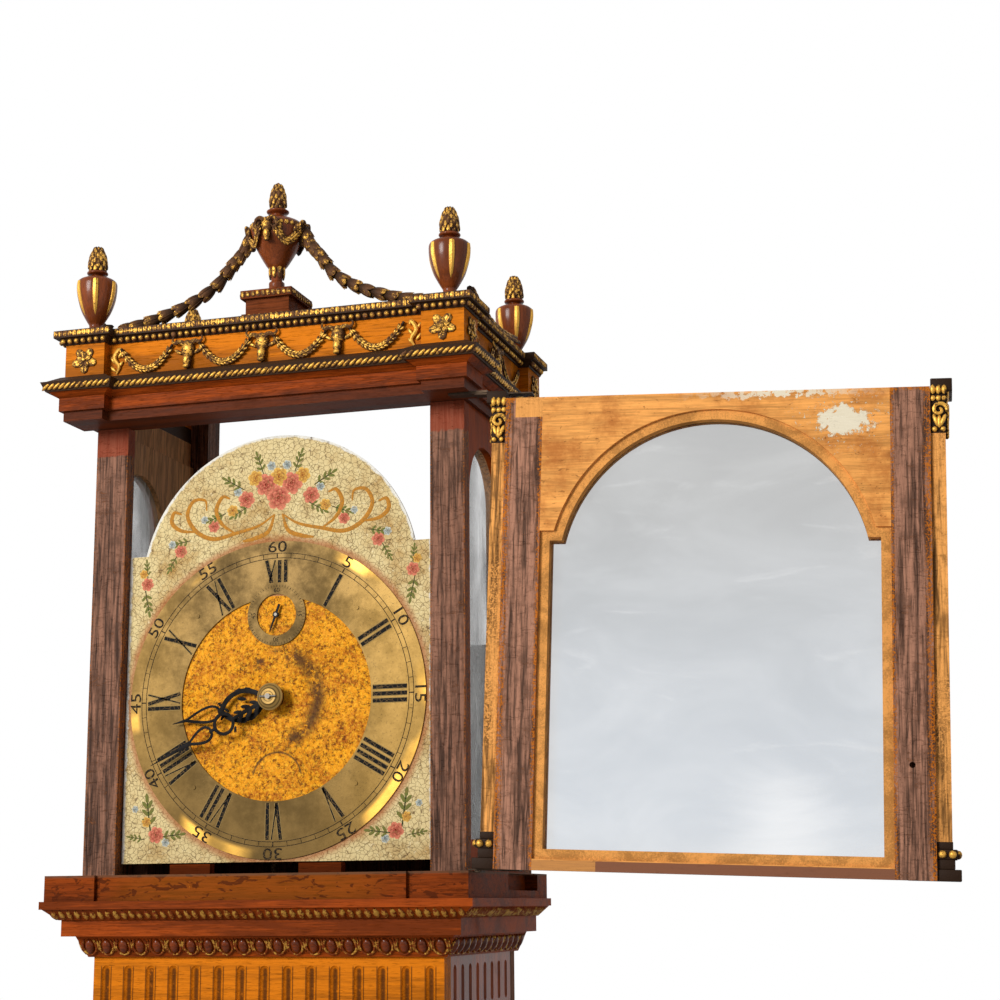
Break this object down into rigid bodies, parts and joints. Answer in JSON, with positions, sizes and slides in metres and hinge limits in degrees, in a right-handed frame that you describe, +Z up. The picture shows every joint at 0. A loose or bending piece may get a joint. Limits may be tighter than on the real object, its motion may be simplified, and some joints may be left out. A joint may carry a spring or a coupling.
{
  "type": "longcase clock",
  "caption": "Tall pendulum clock: fluted trunk, hood with urn finials and an arched glazed door swung open, painted break-arch dial, weight-driven train.",
  "frame": {"origin": "on the floor, in the case's middle plane, under the front of the hood posts", "axes": "+X to the clock's right as seen from the front, +Y to the back, +Z up"},
  "size_m": [0.8502, 0.271, 2.281],
  "materials": {
    "mahogany": "polished",
    "satinwood": "polished",
    "dark_oak": "bare",
    "pine": "bare",
    "carcass_wood": "bare",
    "gilt": "gilded over dark bole",
    "brass": "aged",
    "steel": "polished",
    "blued_steel": "blackened",
    "dial_paint": "crackled paint",
    "glass": "dusty",
    "iron": "rough",
    "line": "twisted"
  },
  "bodies": {
    "case": {"plinth_base": "mahogany", "plinth_carcass": "satinwood", "backboard": "carcass_wood", "waist_moulding": "mahogany", "trunk_sides": "satinwood", "trunk_front_frame": "satinwood", "fluted_frieze": "satinwood", "crown_mouldings": "mahogany", "seat_cheeks": "carcass_wood", "seat_board": "carcass_wood", "trunk_hinge_pins": "brass", "front_plate": "brass", "back_plate": "brass", "back_cock": "brass", "dial_plate": "dial_paint", "chapter_ring": "brass", "seconds_ring": "brass", "weight_line": "line", "counter_line": "line", "line_over_sprocket": "line"},
    "hood": {"hood_base_rails": "mahogany", "hood_posts": "dark_oak", "hood_side_panels": "dark_oak", "hood_side_glasses": "glass", "hood_architrave": "mahogany", "hood_frieze": "satinwood", "hood_gilt_mouldings": "gilt", "hood_roof_board": "pine", "corner_urns": "mahogany", "centre_urn": "mahogany", "urn_pedestal": "mahogany", "leaf_garlands": "gilt", "frieze_ornaments": "gilt", "hood_hinge_leaves": "brass"},
    "hood_door": {"door_stiles": "dark_oak", "door_rails": "pine", "door_glass": "glass", "door_beads": "pine", "door_pilasters": "satinwood", "door_carvings": "gilt", "door_hinge_straps": "brass"},
    "trunk_door": {"trunk_door_panel": "satinwood", "trunk_door_fittings": "brass"},
    "centre": {"centre_arbor": "brass", "cannon_wheel": "brass", "minute_hand": "blued_steel"},
    "great": {"great_wheel": "brass"},
    "sprocket": {"rope_sprocket": "brass"},
    "third": {"third_arbor": "brass"},
    "escape": {"escape_arbor": "brass", "seconds_hand": "blued_steel"},
    "minute_work": {"minute_wheel": "brass"},
    "hour": {"hour_wheel": "brass", "hour_hand": "blued_steel"},
    "anchor": {"pallet_anchor": "steel"},
    "pendulum": {"pendulum_rod": "steel", "pendulum_bob": "brass", "rating_nut": "brass"},
    "weight": {"driving_weight": "iron"},
    "counter": {"counterweight": "iron"}
  },
  "joints": [
    {"name": "hood_slide", "type": "slide", "parent": "case", "child": "hood", "axis": [0, -1, 0], "range_m": [0, 0.35]},
    {"name": "hood_door_hinge", "type": "hinge", "parent": "hood", "child": "hood_door", "pos_m": [0.203, -0.021, 1.611], "axis": [0.0188, 0, 0.9998], "range_deg": [-184, 0]},
    {"name": "trunk_door_hinge", "type": "hinge", "parent": "case", "child": "trunk_door", "pos_m": [0.133, -0.0097, 1.03], "axis": [0, 0, 1], "range_deg": [0, 105]},
    {"name": "centre_spin", "type": "hinge", "parent": "case", "child": "centre", "pos_m": [0, 0.08, 1.7827], "axis": [0, 1, 0], "continuous": true},
    {"name": "great_spin", "type": "hinge", "parent": "case", "child": "great", "pos_m": [0, 0.08, 1.7287], "axis": [0, 1, 0], "continuous": true},
    {"name": "third_spin", "type": "hinge", "parent": "case", "child": "third", "pos_m": [0.0148, 0.08, 1.822], "axis": [0, 1, 0], "continuous": true},
    {"name": "escape_spin", "type": "hinge", "parent": "case", "child": "escape", "pos_m": [0, 0.08, 1.8602], "axis": [0, 1, 0], "continuous": true},
    {"name": "minute_work_spin", "type": "hinge", "parent": "case", "child": "minute_work", "pos_m": [-0.036, 0.08, 1.7827], "axis": [0, 1, 0], "continuous": true},
    {"name": "hour_spin", "type": "hinge", "parent": "case", "child": "hour", "pos_m": [0, 0.08, 1.7827], "axis": [0, 1, 0], "continuous": true},
    {"name": "pendulum_swing", "type": "hinge", "parent": "case", "child": "pendulum", "pos_m": [0, 0.152, 1.8982], "axis": [0, 1, 0], "range_deg": [-3, 3]},
    {"name": "anchor_rock", "type": "hinge", "parent": "case", "child": "anchor", "pos_m": [0, 0.1, 1.8982], "axis": [0, 1, 0], "range_deg": [-3, 3]},
    {"name": "weight_rise", "type": "slide", "parent": "case", "child": "weight", "axis": [0, 0, 1], "range_m": [0, 0.85], "deforming": ["weight_line"]},
    {"name": "counter_fall", "type": "slide", "parent": "case", "child": "counter", "axis": [0, 0, 1], "range_m": [-0.85, 0], "deforming": ["counter_line"]},
    {"name": "sprocket_spin", "type": "hinge", "parent": "case", "child": "sprocket", "pos_m": [0, 0.081, 1.7287], "axis": [0, 1, 0], "range_deg": [0, 1624]}
  ],
  "couplings": [
    {"joint": "great_spin", "follows": "centre_spin", "ratio": -0.2},
    {"joint": "third_spin", "follows": "centre_spin", "ratio": -7.5},
    {"joint": "escape_spin", "follows": "centre_spin", "ratio": 60},
    {"joint": "minute_work_spin", "follows": "centre_spin", "ratio": -0.33333},
    {"joint": "hour_spin", "follows": "centre_spin", "ratio": 0.083333},
    {"joint": "anchor_rock", "follows": "pendulum_swing", "ratio": 1},
    {"joint": "counter_fall", "follows": "weight_rise", "ratio": -1},
    {"joint": "sprocket_spin", "follows": "weight_rise", "rad_per_m": 33.333}
  ]
}
